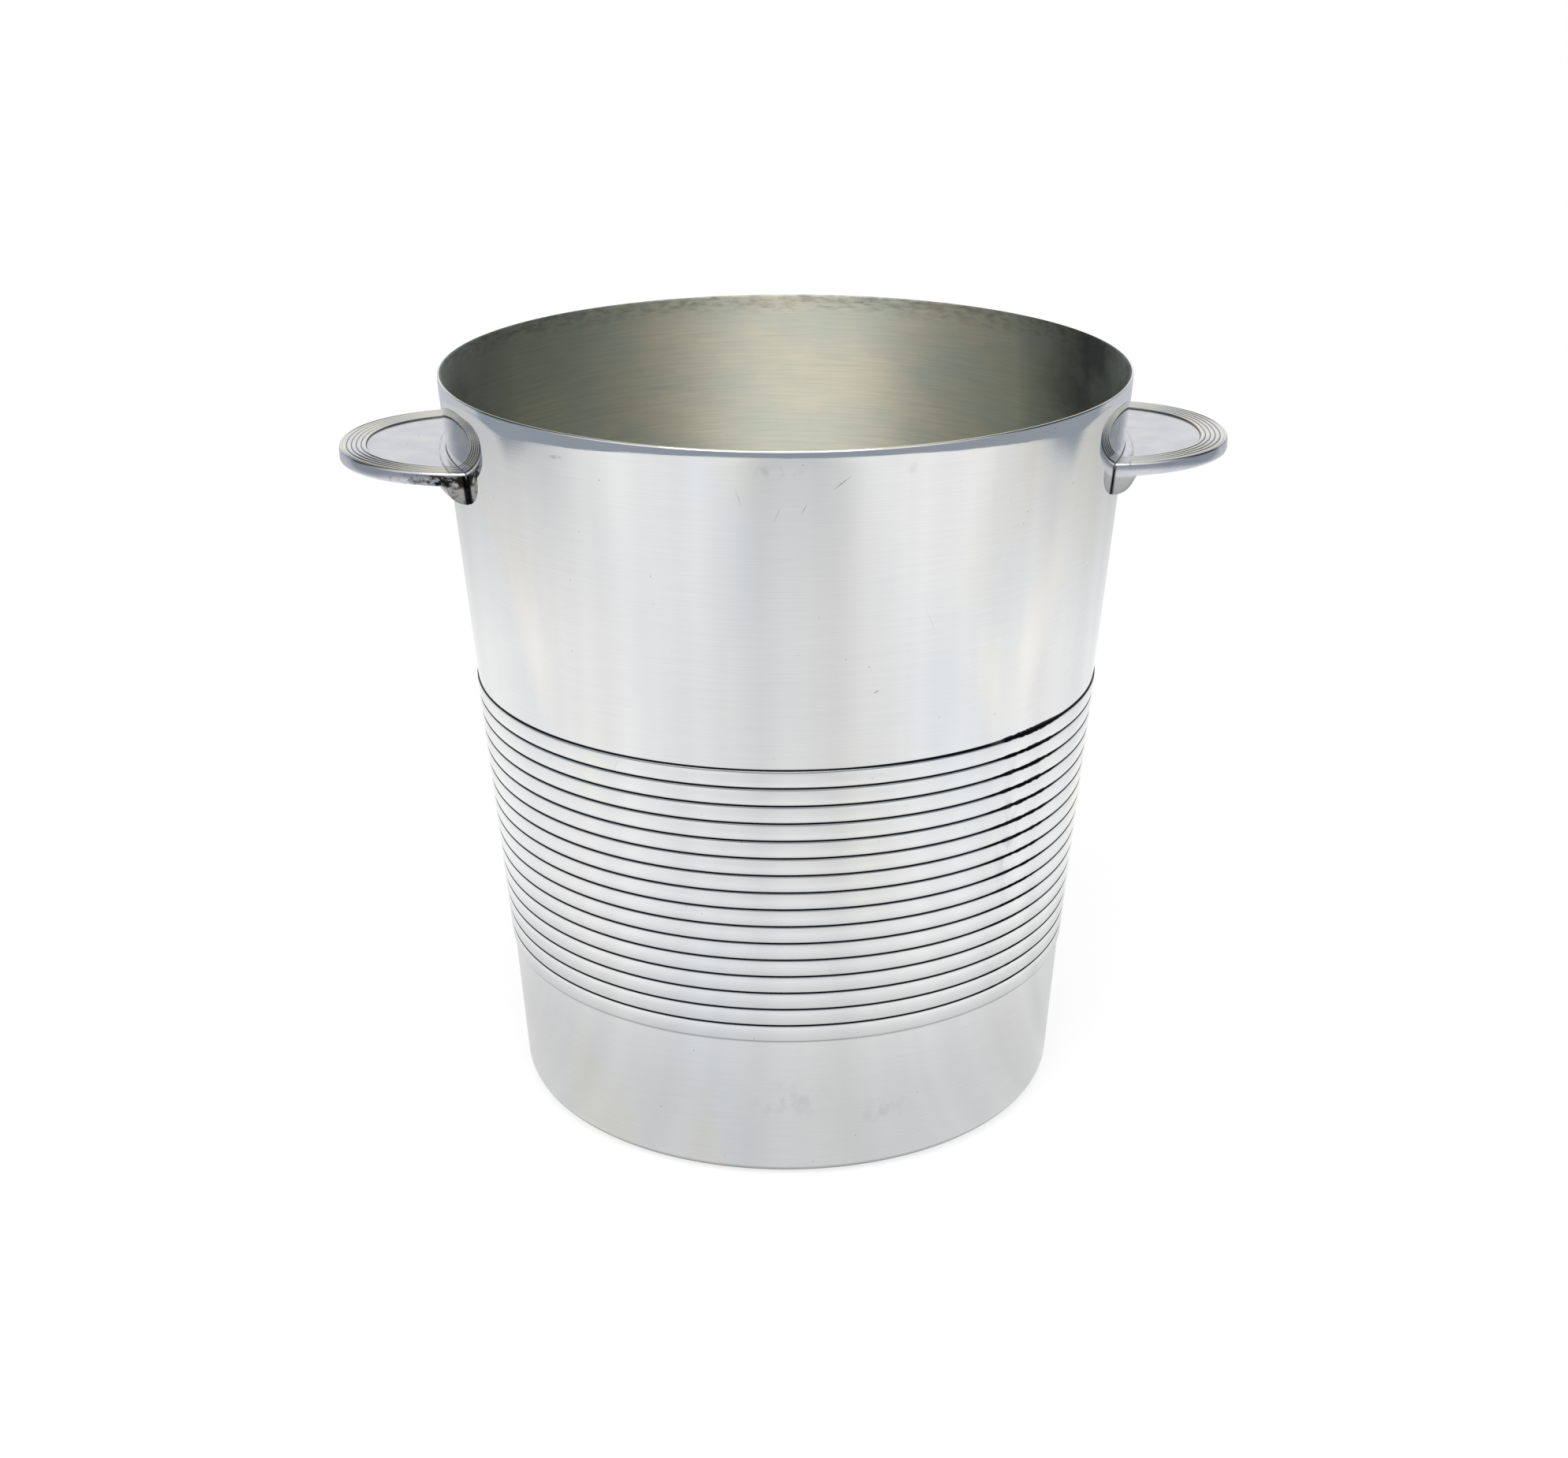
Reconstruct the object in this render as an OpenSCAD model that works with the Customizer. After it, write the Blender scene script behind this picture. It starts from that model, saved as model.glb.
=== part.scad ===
// Champagne bucket: a cup spun from one sheet, with a band of rolled beads round it,
// and two cast handles that are silver-soldered to its wall.
// The origin is the centre of the base, on the surface that the bucket stands on.
// +Z is up, and the handles lie along X.

/* [Cup] */
// Outer diameter at the rim
rim_d = 200; // [160:1:260]
// Height from the table to the rim
bucket_h = 221; // [180:1:300]
// Thickness of the spun sheet
sheet_t = 1; // [0.7:0.1:1.6]
// Lean of the wall from the rim down to the foot of the bead band, in degrees
wall_draft = 5.07; // [0:0.01:8]
// Lean of the plain wall below the bead band, in degrees
foot_draft = 4.13; // [0:0.01:8]
// Outer radius of the corner between the wall and the base
corner_r = 6.3; // [2.5:0.1:20]

/* [Base] */
// Width of the flat ring that the bucket stands on
stand_ring_w = 4.5; // [2:0.1:20]
// Width of the slope from that ring up to the raised middle
dish_run = 6; // [2:0.5:20]
// Height of the raised middle above the table
dish_h = 1.2; // [0.2:0.1:6]

/* [Bead band] */
// Height of the lowest line of the band above the table
band_foot_h = 45.7; // [24:0.1:80]
// Number of beads in the band
bead_count = 16; // [1:1:20]
// Height of one bead, from line to line
bead_pitch = 5.33; // [2:0.01:6.5]
// Rise of a bead's crown above the lines beside it
bead_rise = 0.45; // [0.1:0.05:0.9]
// How far the lines stand proud of the plain wall
band_proud = 0.1; // [0.05:0.05:0.5]

/* [Handles] */
// Depth of a handle's top face below the rim
handle_drop = 21; // [4:0.5:40]
// Width of a handle, across the bucket
handle_w = 77.3; // [40:0.1:100]
// Reach of a handle's tip beyond the wall
handle_reach = 30.9; // [15:0.1:60]
// Length over which a handle's outline rounds off to its tip
handle_round = 41.7; // [20:0.1:70]
// Fullness of that outline: 2 is an ellipse, and more is squarer
handle_fullness = 2.15; // [1.6:0.05:4]
// Thickness of a handle's plate
plate_t = 4; // [2:0.1:8]
// Radius of the quarter-round foot under the plate, along the wall
foot_r = 5; // [2:0.1:12]

/* [Handle border] */
// Width of the plain rounded band at a handle's edge
edge_band_w = 2.15; // [1:0.05:4]
// Spacing of the border's fine ridges
ridge_pitch = 1.4; // [0.8:0.05:2]
// Number of fine ridges between the edge band and the field
ridge_count = 4; // [1:1:6]
// Width of the groove on the outer side of each fine ridge
groove_w = 0.4; // [0.2:0.05:0.6]
// Depth of those grooves
groove_deep = 0.35; // [0.1:0.05:0.8]
// Depth of the smooth field below the ridges
field_deep = 0.6; // [0.2:0.05:1.2]
// Width of the plain land between the field and the wall, at the handle's middle
land_w = 1.8; // [0.5:0.1:6]
// Radius of the land's edge in plan
land_r = 140; // [60:1:400]

/* [Solder] */
// Thickness of the silver solder between a handle and the wall
solder_t = 0.25; // [0.1:0.05:0.5]
// How far the solder stops short of a handle's edges
solder_inset = 0.7; // [0:0.1:1.5]

/* [Hidden] */

SILVER = [0.80, 0.81, 0.82];
CAST_SILVER = [0.72, 0.73, 0.75];
SOLDER_GREY = [0.28, 0.27, 0.27];

// Straight steps along the section of one bead, and along a round corner or lip
BEAD_STEPS = 4;
ARC_STEPS = 6;
// Straight steps from a handle's side round to its other side
OUTLINE_STEPS = 36;
// How far a cutting shape runs past what it cuts
OVERRUN = 1;

rim_r = rim_d / 2;
band_top_h = band_foot_h + bead_count * bead_pitch;
band_foot_r = wall_radius(band_foot_h);
base_r = band_foot_r - band_foot_h * tan(foot_draft);
corner_x = base_r + corner_r * (tan(foot_draft) - 1 / cos(foot_draft));
stand_ring_in_r = corner_x - stand_ring_w;
dish_r = stand_ring_in_r - dish_run;

plate_top_z = bucket_h - handle_drop;
plate_base_z = plate_top_z - plate_t;
foot_base_z = plate_base_z - foot_r;
tip_x = wall_radius(plate_top_z) + handle_reach;
round_x = tip_x - handle_round;

$fn = 180;

// Outer radius of the plain conical wall at a height above the table
function wall_radius(z) = rim_r - (bucket_h - z) * tan(wall_draft);

// Points of an arc about a centre, from one angle to another
function arc(centre, r, from, to, steps) = [
    for (i = [0 : steps]) let (a = from + (to - from) * i / steps)
        centre + r * [cos(a), sin(a)]
];

// Points up the bead band, moved in by a shift: each bead is a shallow bow between two lines
function bead_points(shift) = [
    for (i = [0 : bead_count * BEAD_STEPS])
        let (
            z = band_foot_h + i * bead_pitch / BEAD_STEPS,
            across = 2 * (i % BEAD_STEPS) / BEAD_STEPS - 1,
            bow = bead_rise * (1 - across * across)
        )
        [wall_radius(z) + band_proud + bow - shift, z]
];

function reversed(points) = [for (i = [len(points) - 1 : -1 : 0]) points[i]];

// One face of the wall from the top of its plain foot to the top of the bead band
function side_points(wall_shift, foot_shift) = concat(
    [[band_foot_r - foot_shift, band_foot_h]],
    bead_points(wall_shift),
    [[wall_radius(band_top_h) - wall_shift, band_top_h]]
);

// Section of the cup, from the middle of the base round the outside to the lip and back
module cup_section() {
    lip_r = sheet_t / 2;
    wall_in = sheet_t / cos(wall_draft);
    foot_in = sheet_t / cos(foot_draft);
    outside = concat(
        [[0, dish_h], [dish_r, dish_h], [stand_ring_in_r, 0]],
        arc([corner_x, corner_r], corner_r, -90, -foot_draft, ARC_STEPS),
        side_points(0, 0)
    );
    lip = arc(
        [wall_radius(bucket_h - lip_r) - lip_r / cos(wall_draft), bucket_h - lip_r],
        lip_r, -wall_draft, 180 - wall_draft, ARC_STEPS
    );
    inside = concat(
        [[0, dish_h + sheet_t], [dish_r, dish_h + sheet_t], [stand_ring_in_r, sheet_t]],
        arc([corner_x, corner_r], corner_r - sheet_t, -90, -foot_draft, ARC_STEPS),
        side_points(wall_in, foot_in)
    );
    polygon(concat(outside, lip, reversed(inside)));
}

// The spun cup, with its base, beads and lip all in one sheet
module bucket_body() {
    color(SILVER) rotate_extrude() cup_section();
}

// Everything inside the cup's outer wall, grown by a gap, for fitting a handle to it
module wall_solid(gap) {
    span = plate_top_z - foot_base_z + 2 * OVERRUN;
    translate([0, 0, foot_base_z - OVERRUN])
        cylinder(
            h = span,
            r1 = wall_radius(foot_base_z - OVERRUN) + gap,
            r2 = wall_radius(plate_top_z + OVERRUN) + gap
        );
}

// Plan of the right handle, moved in from its edge by an inset
module handle_plan(inset) {
    half_l = handle_round - inset;
    half_w = handle_w / 2 - inset;
    power = 2 / handle_fullness;
    rounded = [
        for (i = [0 : OUTLINE_STEPS]) let (a = -90 + 180 * i / OUTLINE_STEPS)
            [round_x + half_l * pow(cos(a), power), half_w * sign(a) * pow(abs(sin(a)), power)]
    ];
    polygon(concat([[0, -half_w]], rounded, [[0, half_w]]));
}

// Cutting shape for the top face: the plan inside an inset, less its children and the land
module top_cut(inset, deep) {
    land_x = wall_radius(plate_top_z) + land_w - land_r;
    translate([0, 0, plate_top_z - deep])
        linear_extrude(deep + OVERRUN)
            difference() {
                handle_plan(inset);
                translate([land_x, 0]) circle(r = land_r);
                children();
            }
}

// Quarter-round foot that runs along the wall under the plate
module handle_foot() {
    foot_x = wall_radius(plate_base_z) + solder_t;
    intersection() {
        rotate_extrude() translate([foot_x, plate_base_z]) circle(r = foot_r, $fn = 64);
        translate([0, 0, foot_base_z]) linear_extrude(foot_r + plate_t / 2) handle_plan(0);
    }
}

// The right handle: a tongue plate with a ridged border, a sunk field and a foot
module handle_casting() {
    field_inset = edge_band_w + ridge_count * ridge_pitch;
    color(CAST_SILVER) difference() {
        union() {
            translate([0, 0, plate_base_z]) linear_extrude(plate_t) handle_plan(0);
            handle_foot();
        }
        wall_solid(solder_t);
        for (i = [0 : ridge_count - 1])
            let (groove_inset = edge_band_w + i * ridge_pitch)
                top_cut(groove_inset, groove_deep) handle_plan(groove_inset + groove_w);
        top_cut(field_inset, field_deep);
    }
}

// The thin layer of solder between the right handle and the wall
module handle_solder() {
    color(SOLDER_GREY) difference() {
        intersection() {
            wall_solid(solder_t);
            translate([0, 0, foot_base_z + solder_inset])
                linear_extrude(plate_top_z - foot_base_z - 2 * solder_inset) handle_plan(solder_inset);
        }
        wall_solid(0);
    }
}

module right_handle() {
    handle_casting();
}

module left_handle() {
    rotate([0, 0, 180]) handle_casting();
}

module right_handle_solder() {
    handle_solder();
}

module left_handle_solder() {
    rotate([0, 0, 180]) handle_solder();
}

bucket_body();
left_handle();
right_handle();
left_handle_solder();
right_handle_solder();
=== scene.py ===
# %% [markdown]
# # A silver-plated champagne bucket
# This lesson builds the looks of a bucket whose sizes are already fixed by its CAD model. The
# model is loaded first and never changed. Each of its five solids is then replaced by a finer
# piece of the same size in the same place.

# %% Load the frame
import math

import bpy
from mathutils import Euler, Matrix, Vector


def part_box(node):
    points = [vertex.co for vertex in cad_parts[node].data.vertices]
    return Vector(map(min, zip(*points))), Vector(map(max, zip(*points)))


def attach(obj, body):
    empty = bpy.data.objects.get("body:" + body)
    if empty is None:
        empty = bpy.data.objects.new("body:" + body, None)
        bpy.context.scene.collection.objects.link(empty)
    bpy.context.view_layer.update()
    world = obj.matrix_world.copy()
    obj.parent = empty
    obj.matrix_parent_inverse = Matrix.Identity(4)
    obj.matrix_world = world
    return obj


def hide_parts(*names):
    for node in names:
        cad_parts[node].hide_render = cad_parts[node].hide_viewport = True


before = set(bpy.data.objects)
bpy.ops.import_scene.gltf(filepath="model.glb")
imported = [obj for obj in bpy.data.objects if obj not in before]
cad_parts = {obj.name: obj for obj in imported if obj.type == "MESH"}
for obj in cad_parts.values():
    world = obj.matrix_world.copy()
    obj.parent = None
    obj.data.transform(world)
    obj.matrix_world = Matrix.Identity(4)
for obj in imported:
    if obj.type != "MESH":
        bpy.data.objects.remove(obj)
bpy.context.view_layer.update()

MM = 0.001

# %% [markdown]
# ## The camera
# The view is from about 0.74 m away with a slightly long lens, looking down into the mouth. The
# camera stands a little to the left of the bucket's own front, so the right handle lies
# slightly further off. Making the camera first fixes what every later choice is judged by.

# %% Camera
CAMERA_DISTANCE = 0.7365
CAMERA_HEIGHT = 0.3883
CAMERA_TURN = math.radians(-2.77)
CAMERA_AIM = math.radians(-2.72)
CAMERA_PITCH = math.radians(20.84)
CAMERA_ROLL = math.radians(-0.16)
LENS_MM = 59.5
SENSOR_MM = 36
FAR_CLIP = 20

aim = Euler((math.pi / 2 - CAMERA_PITCH, 0, CAMERA_AIM)).to_matrix()
bpy.ops.object.camera_add(
    location=(
        CAMERA_DISTANCE * math.sin(CAMERA_TURN),
        -CAMERA_DISTANCE * math.cos(CAMERA_TURN),
        CAMERA_HEIGHT,
    ),
    rotation=(aim @ Matrix.Rotation(CAMERA_ROLL, 3, "Z")).to_euler(),
)
camera = bpy.context.object
camera.name = "camera"
camera.data.lens = LENS_MM
camera.data.sensor_width = SENSOR_MM
camera.data.clip_end = FAR_CLIP
bpy.context.scene.camera = camera
print("camera at", [round(v, 3) for v in camera.location])

# %% [markdown]
# ## Sizes
# The box of each CAD solid gives the overall sizes. The rest are the same driving sizes as in
# the CAD model: the lean of the wall, the band of beads and the handle's outline.

# %% Sizes from the frame
_, cup_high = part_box("bucket_body")
handle_low, handle_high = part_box("right_handle")

RIM_R = 100 * MM
BUCKET_H = cup_high.z
SHEET_T = 1 * MM
WALL_DRAFT = math.radians(5.07)
FOOT_DRAFT = math.radians(4.13)
CORNER_R = 6.3 * MM
STAND_RING_W = 4.5 * MM
DISH_RUN = 6 * MM
DISH_H = 1.2 * MM

BAND_FOOT_H = 45.7 * MM
BEAD_COUNT = 16
BEAD_PITCH = 5.33 * MM
BEAD_RISE = 0.45 * MM
BEAD_CROWN = 0.55
BAND_PROUD = 0.1 * MM

PLATE_TOP_Z = handle_high.z
PLATE_T = 4 * MM
PLATE_BASE_Z = PLATE_TOP_Z - PLATE_T
FOOT_R = PLATE_BASE_Z - handle_low.z
HANDLE_W = 77.3 * MM
HANDLE_ROUND = 41.7 * MM
HANDLE_FULLNESS = 2.15
LAND_W = 1.8 * MM
LAND_R = 140 * MM
SOLDER_T = 0.25 * MM


def wall_radius(z):
    """Outer radius of the plain conical wall at a height."""
    return RIM_R - (BUCKET_H - z) * math.tan(WALL_DRAFT)


BAND_TOP_H = BAND_FOOT_H + BEAD_COUNT * BEAD_PITCH
BAND_FOOT_R = wall_radius(BAND_FOOT_H)
BASE_R = BAND_FOOT_R - BAND_FOOT_H * math.tan(FOOT_DRAFT)
CORNER_X = BASE_R + CORNER_R * (math.tan(FOOT_DRAFT) - 1 / math.cos(FOOT_DRAFT))
print("band from", round(BAND_FOOT_H / MM, 1), "to", round(BAND_TOP_H / MM, 1), "mm up")

# %% [markdown]
# ## Drawing an outline
# A spun cup, a cast plate and a moulded foot all start from one drawn line. By hand that line
# is made by merging a small plane to one point and extruding that point again and again. The
# helper does just this, so every shape below starts from a short list or a formula of points.

# %% Outline helper
MERGE_GAP = 0.001 * MM


def arc(centre, radius, start, end, steps):
    """Points of an arc in a plane, with its angles in degrees."""
    turns = [math.radians(start + (end - start) * i / steps) for i in range(steps + 1)]
    return [(centre[0] + radius * math.cos(a), centre[1] + radius * math.sin(a)) for a in turns]


def draw(name, points):
    """A new mesh object in edit mode, holding one line through points in space."""
    bpy.ops.object.select_all(action="DESELECT")
    bpy.ops.mesh.primitive_plane_add(size=MM)
    drawn = bpy.context.object
    drawn.name = drawn.data.name = name
    bpy.ops.object.mode_set(mode="EDIT")
    bpy.ops.mesh.select_mode(type="VERT")
    bpy.ops.mesh.select_all(action="SELECT")
    bpy.ops.mesh.merge(type="CENTER")
    bpy.ops.transform.translate(value=points[0])
    for before, after in zip(points, points[1:]):
        step = Vector(after) - Vector(before)
        bpy.ops.mesh.extrude_vertices_move(TRANSFORM_OT_translate={"value": step})
    bpy.ops.mesh.select_all(action="SELECT")
    return drawn


def close_up(drawn):
    """Merges doubled points, turns every face outwards and leaves edit mode."""
    bpy.ops.mesh.select_all(action="SELECT")
    bpy.ops.mesh.remove_doubles(threshold=MERGE_GAP)
    bpy.ops.mesh.normals_make_consistent(inside=False)
    bpy.ops.object.mode_set(mode="OBJECT")
    print(drawn.name, len(drawn.data.polygons), "faces")
    return drawn


def pick(shape, kind, test):
    """Enters edit mode with only the faces or points of a shape that pass a test selected."""
    bpy.ops.object.mode_set(mode="EDIT")
    bpy.ops.mesh.select_mode(type=kind)
    bpy.ops.mesh.select_all(action="DESELECT")
    bpy.ops.object.mode_set(mode="OBJECT")
    for item in shape.data.polygons if kind == "FACE" else shape.data.vertices:
        item.select = test(item)
    bpy.ops.object.mode_set(mode="EDIT")


# %% [markdown]
# ## The cup
# A silversmith spins this cup from one disc of sheet over a wooden former, then rolls the beads
# in from outside. Spinning is also how it is made here: the section of the sheet is drawn once,
# from the middle of the base round the outside to the lip and back down the inside, and then
# spun about Z. The bead band is a row of shallow bows with a narrow groove between each two.
# At the lip the burnisher has pressed the last few millimetres very slightly inwards.

# %% Section of the cup
GROOVE_W = 0.5 * MM
GROOVE_SINK = 0.22 * MM
OUTER_BOW_STEPS = 10
INNER_BOW_STEPS = 4
LIP_TURN_H = 5 * MM
LIP_TURN_IN = 0.22 * MM
LIP_STEPS = 8
CORNER_STEPS = 10
CUP_SMOOTH = math.radians(30)
SPIN_STEPS = 256
SQUARED = 12  # a high power keeps a bead's body nearly flat up to its grooves


def bow(across):
    """Rise of a bead from one groove, at -1, to the next, at 1: a low crown on a squared body."""
    crown = BEAD_CROWN * (1 - across ** 2)
    return BEAD_RISE * (crown + (1 - BEAD_CROWN) * (1 - across ** SQUARED))


def bead_band(shift, groove_sink, bow_steps):
    """Section of the bead band, moved in by a shift, with a groove before each later bead."""
    reach = 1 - GROOVE_W / BEAD_PITCH
    points = []
    for bead in range(BEAD_COUNT):
        middle = BAND_FOOT_H + (bead + 0.5) * BEAD_PITCH
        if bead > 0:
            points.append((middle - BEAD_PITCH / 2, -groove_sink))
        for i in range(bow_steps + 1):
            across = -reach * math.cos(math.pi * i / bow_steps)
            points.append((middle + across * BEAD_PITCH / 2, bow(across)))
    return [(wall_radius(z) + BAND_PROUD + rise - shift, z) for z, rise in points]


def turned_in(z):
    """How far the lip has been burnished inwards at a height."""
    up = max(0, z - (BUCKET_H - LIP_TURN_H)) / LIP_TURN_H
    return LIP_TURN_IN * up * up


def section_of_cup():
    """Points of the sheet's section, each a radius and a height."""
    lip_r = SHEET_T / 2
    wall_in = SHEET_T / math.cos(WALL_DRAFT)
    foot_in = SHEET_T / math.cos(FOOT_DRAFT)
    foot_lean = -math.degrees(FOOT_DRAFT)
    ring_r = CORNER_X - STAND_RING_W
    dish_r = ring_r - DISH_RUN
    corner = (CORNER_X, CORNER_R)
    lip_z = BUCKET_H - lip_r
    lip_x = wall_radius(lip_z) - turned_in(lip_z) - lip_r
    heights = [BUCKET_H - LIP_TURN_H * (1 - i / LIP_STEPS) for i in range(LIP_STEPS)]
    lip_side = [z for z in heights if z < lip_z]
    outside = (
        [(0, DISH_H), (dish_r, DISH_H), (ring_r, 0)]
        + arc(corner, CORNER_R, -90, foot_lean, CORNER_STEPS)
        + [(BAND_FOOT_R, BAND_FOOT_H)]
        + bead_band(0, GROOVE_SINK, OUTER_BOW_STEPS)
        + [(wall_radius(BAND_TOP_H), BAND_TOP_H)]
        + [(wall_radius(z) - turned_in(z), z) for z in lip_side]
    )
    inside = (
        [(0, DISH_H + SHEET_T), (dish_r, DISH_H + SHEET_T), (ring_r, SHEET_T)]
        + arc(corner, CORNER_R - SHEET_T, -90, foot_lean, CORNER_STEPS)
        + [(BAND_FOOT_R - foot_in, BAND_FOOT_H)]
        + bead_band(wall_in, 0, INNER_BOW_STEPS)
        + [(wall_radius(BAND_TOP_H) - wall_in, BAND_TOP_H)]
        + [(wall_radius(z) - turned_in(z) - wall_in, z) for z in lip_side]
    )
    return outside + arc((lip_x, lip_z), lip_r, 0, 180, LIP_STEPS) + inside[::-1]


cup = draw("cup", [(x, 0, z) for x, z in section_of_cup()])
bpy.ops.mesh.spin(steps=SPIN_STEPS, angle=2 * math.pi, center=(0, 0, 0), axis=(0, 0, 1))
close_up(cup)
bpy.ops.object.shade_smooth_by_angle(angle=CUP_SMOOTH)
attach(cup, "root")
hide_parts("bucket_body")

# %% [markdown]
# ## The handles
# Each handle is one casting: a tongue-shaped plate with five fine ridges round its edge and a
# smooth sunk field, and a quarter-round foot along the wall under it. The tongue is a drawn
# outline, filled and extruded. Its ridges are then cut the way an inset tool does it: the top
# face is inset in small steps, and each step goes up or down by what the ridge's shape needs.
# An attribute named crease remembers where a furrow is, so that its tarnish can follow it.

# %% Tongue of the handle
TIP_X = handle_high.x
ROUND_X = TIP_X - HANDLE_ROUND
BACK_X = 78 * MM
OUTLINE_STEPS = 96
EDGE_ROUND = 0.75 * MM
EDGE_STEPS = 5
LOWER_ROUND = 0.9 * MM
LOWER_STEPS = 4
RIDGE_W = 1.4 * MM
RIDGE_COUNT = 5
RIDGE_DEEP = 0.33 * MM
FURROW_FREE = 0.37
RIDGE_STEPS = 8
FIELD_DEEP = 0.6 * MM
FIELD_WALL = 0.12 * MM
FIELD_EDGE_DARK = 0.8


def tongue_outline(inset):
    """The handle's outline in plan, moved in from its edge and run back through the wall."""
    half_l, half_w = HANDLE_ROUND - inset, HANDLE_W / 2 - inset
    power = 2 / HANDLE_FULLNESS
    rounded = []
    for i in range(OUTLINE_STEPS + 1):
        a = math.pi * (i / OUTLINE_STEPS - 0.5)
        side = math.copysign(abs(math.sin(a)) ** power, a)
        rounded.append((ROUND_X + half_l * abs(math.cos(a)) ** power, half_w * side))
    return [(BACK_X, -half_w), *rounded, (BACK_X, half_w)]


def prism(name, outline, low, high):
    """A closed block with a drawn outline, between two heights, left in object mode."""
    block = draw(name, [(x, y, low) for x, y in outline])
    bpy.ops.mesh.edge_face_add()
    bpy.ops.mesh.extrude_region_move(TRANSFORM_OT_translate={"value": (0, 0, high - low)})
    return close_up(block)


def ridge_steps():
    """Distances in from the edge and heights under the top, over the rounding and the ridges."""
    steps = []
    for i in range(1, EDGE_STEPS + 1):
        a = math.pi / 2 * i / EDGE_STEPS
        steps.append((EDGE_ROUND * (1 - math.cos(a)), EDGE_ROUND * (math.sin(a) - 1), 0))
    for i in range(1, RIDGE_COUNT * RIDGE_STEPS + 1):
        across = i / RIDGE_STEPS % 1
        height = -RIDGE_DEEP * (2 * across - 1) ** 2
        furrow = max(0, abs(across - 0.5) - FURROW_FREE) / (0.5 - FURROW_FREE)
        steps.append((EDGE_ROUND + RIDGE_W * i / RIDGE_STEPS, height, furrow))
    steps.append((steps[-1][0] + FIELD_WALL, -FIELD_DEEP, FIELD_EDGE_DARK))
    steps.append((steps[-1][0] + 2 * FIELD_WALL, -FIELD_DEEP, 0))
    return steps


tongue = prism("tongue", tongue_outline(0), PLATE_BASE_Z, PLATE_TOP_Z - EDGE_ROUND)
bpy.ops.geometry.attribute_add(name="crease", domain="POINT", data_type="FLOAT")
pick(tongue, "VERT", lambda p: p.co.z < PLATE_BASE_Z + MERGE_GAP)
bpy.ops.mesh.bevel(offset=LOWER_ROUND, segments=LOWER_STEPS, affect="EDGES")
pick(tongue, "FACE", lambda f: f.center.z > PLATE_TOP_Z - EDGE_ROUND - MERGE_GAP)
reached, height = 0, -EDGE_ROUND
for distance, level, crease in ridge_steps():
    bpy.ops.mesh.inset(thickness=distance - reached, depth=level - height)
    bpy.ops.mesh.attribute_set(value_float=crease)
    reached, height = distance, level
close_up(tongue)
print("field starts", round(reached / MM, 2), "mm in")

# %% [markdown]
# The ridges stop at a plain land beside the wall, and the foot is a quarter round spun about
# the bucket's axis. Both are joined to the tongue by a Boolean, and the back of the whole
# casting is then cut to the cone of the wall, less the thickness of the solder.

# %% Land, foot and back of the handle
LAND_INSET = 1.5 * MM
LAND_SINK = 0.03 * MM
FOOT_INSET = 0.02 * MM
FOOT_HALF_TURN = math.radians(32)
FOOT_SPIN_STEPS = 48
FOOT_STEPS = 16
FOOT_BITE = 2 * MM
CAST_SMOOTH = math.radians(35)


def combine(shape, tool, operation):
    """Applies a Boolean of a tool to a shape and deletes the tool."""
    bpy.ops.object.select_all(action="DESELECT")
    bpy.context.view_layer.objects.active = shape
    shape.select_set(True)
    bpy.ops.object.modifier_add(type="BOOLEAN")
    step = shape.modifiers[-1]
    step.operation = operation
    step.solver = "EXACT"
    step.object = tool
    bpy.ops.object.modifier_apply(modifier=step.name)
    bpy.data.objects.remove(tool)


def cone(name, low, high, gap):
    """A solid cone that is the cup's outer wall grown by a gap."""
    bpy.ops.object.select_all(action="DESELECT")
    bpy.ops.mesh.primitive_cone_add(
        vertices=2 * SPIN_STEPS,
        radius1=wall_radius(low) + gap,
        radius2=wall_radius(high) + gap,
        depth=high - low,
        location=(0, 0, (low + high) / 2),
    )
    bpy.ops.object.transform_apply(location=True, rotation=False, scale=False)
    bpy.context.object.name = name
    return bpy.context.object


land = prism("land", tongue_outline(LAND_INSET), PLATE_BASE_Z + MM, PLATE_TOP_Z - LAND_SINK)
bpy.ops.object.select_all(action="DESELECT")
bpy.ops.mesh.primitive_cylinder_add(
    vertices=2 * SPIN_STEPS,
    radius=LAND_R,
    depth=4 * PLATE_T,
    location=(wall_radius(PLATE_TOP_Z) + LAND_W - LAND_R, 0, PLATE_TOP_Z),
)
combine(land, bpy.context.object, "INTERSECT")

foot_x = wall_radius(PLATE_BASE_Z) + SOLDER_T
quarter = arc((foot_x, PLATE_BASE_Z), FOOT_R, -90, 0, FOOT_STEPS)
foot_top = PLATE_BASE_Z + FOOT_BITE
quarter += [(foot_x + FOOT_R, foot_top), (foot_x - FOOT_BITE, foot_top)]
quarter += [(foot_x - FOOT_BITE, PLATE_BASE_Z - FOOT_R)]
start = Matrix.Rotation(FOOT_HALF_TURN, 3, "Z")  # spin turns clockwise from here
foot = draw("foot", [start @ Vector((x, 0, z)) for x, z in quarter])
bpy.ops.mesh.edge_face_add()
bpy.ops.mesh.spin(
    steps=FOOT_SPIN_STEPS, angle=2 * FOOT_HALF_TURN, center=(0, 0, 0), axis=(0, 0, 1)
)
close_up(foot)
trim = prism("trim", tongue_outline(FOOT_INSET), PLATE_BASE_Z - 2 * FOOT_R, PLATE_TOP_Z)
combine(foot, trim, "INTERSECT")

combine(tongue, land, "UNION")
combine(tongue, foot, "UNION")
back = cone("back", PLATE_BASE_Z - 2 * FOOT_R, PLATE_TOP_Z + PLATE_T, SOLDER_T)
combine(tongue, back, "DIFFERENCE")
tongue.name = tongue.data.name = "handle_right"
bpy.ops.object.mode_set(mode="EDIT")
close_up(tongue)
bpy.ops.object.shade_smooth_by_angle(angle=CAST_SMOOTH)

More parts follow.
